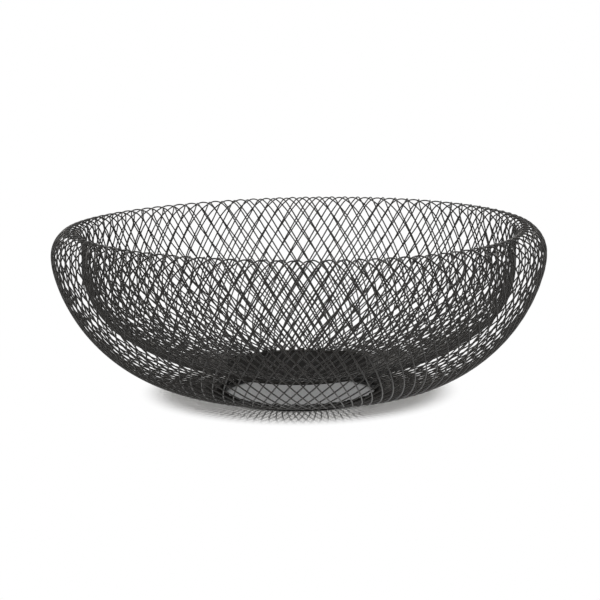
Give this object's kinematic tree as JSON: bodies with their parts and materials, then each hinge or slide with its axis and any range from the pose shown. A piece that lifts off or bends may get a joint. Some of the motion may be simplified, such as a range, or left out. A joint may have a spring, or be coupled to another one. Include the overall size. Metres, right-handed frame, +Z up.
{
  "type": "wire fruit bowl",
  "caption": "Round double-walled bowl of crossed black steel wires that fold over a rounded rim and taper to a small open base ring.",
  "frame": {"origin": "centre of the base, on the surface that the bowl stands on", "axes": "+Z up along the bowl's axis, and the pictured front faces -Y"},
  "size_m": [0.3109, 0.3109, 0.1101],
  "materials": {
    "black_wire": "satin black powder coat"
  },
  "bodies": {
    "root": {"base_hem_ring": "black_wire", "floor_hem_ring": "black_wire", "floor_plate": "black_wire", "outer_layer_wires_01": "black_wire", "outer_layer_wires_02": "black_wire", "outer_layer_wires_03": "black_wire", "outer_layer_wires_04": "black_wire", "outer_layer_wires_05": "black_wire", "outer_layer_wires_06": "black_wire", "outer_layer_wires_07": "black_wire", "outer_layer_wires_08": "black_wire", "outer_layer_wires_09": "black_wire", "outer_layer_wires_10": "black_wire", "outer_layer_wires_11": "black_wire", "outer_layer_wires_12": "black_wire", "outer_layer_wires_13": "black_wire", "outer_layer_wires_14": "black_wire", "outer_layer_wires_15": "black_wire", "outer_layer_wires_16": "black_wire", "outer_layer_wires_17": "black_wire", "outer_layer_wires_18": "black_wire", "outer_layer_wires_19": "black_wire", "outer_layer_wires_20": "black_wire", "outer_layer_wires_21": "black_wire", "outer_layer_wires_22": "black_wire", "outer_layer_wires_23": "black_wire", "outer_layer_wires_24": "black_wire", "outer_layer_wires_25": "black_wire", "inner_layer_wires_01": "black_wire", "inner_layer_wires_02": "black_wire", "inner_layer_wires_03": "black_wire", "inner_layer_wires_04": "black_wire", "inner_layer_wires_05": "black_wire", "inner_layer_wires_06": "black_wire", "inner_layer_wires_07": "black_wire", "inner_layer_wires_08": "black_wire", "inner_layer_wires_09": "black_wire", "inner_layer_wires_10": "black_wire", "inner_layer_wires_11": "black_wire", "inner_layer_wires_12": "black_wire", "inner_layer_wires_13": "black_wire", "inner_layer_wires_14": "black_wire", "inner_layer_wires_15": "black_wire", "inner_layer_wires_16": "black_wire", "inner_layer_wires_17": "black_wire", "inner_layer_wires_18": "black_wire", "inner_layer_wires_19": "black_wire", "inner_layer_wires_20": "black_wire", "inner_layer_wires_21": "black_wire", "inner_layer_wires_22": "black_wire", "inner_layer_wires_23": "black_wire", "inner_layer_wires_24": "black_wire", "inner_layer_wires_25": "black_wire"}
  },
  "joints": []
}
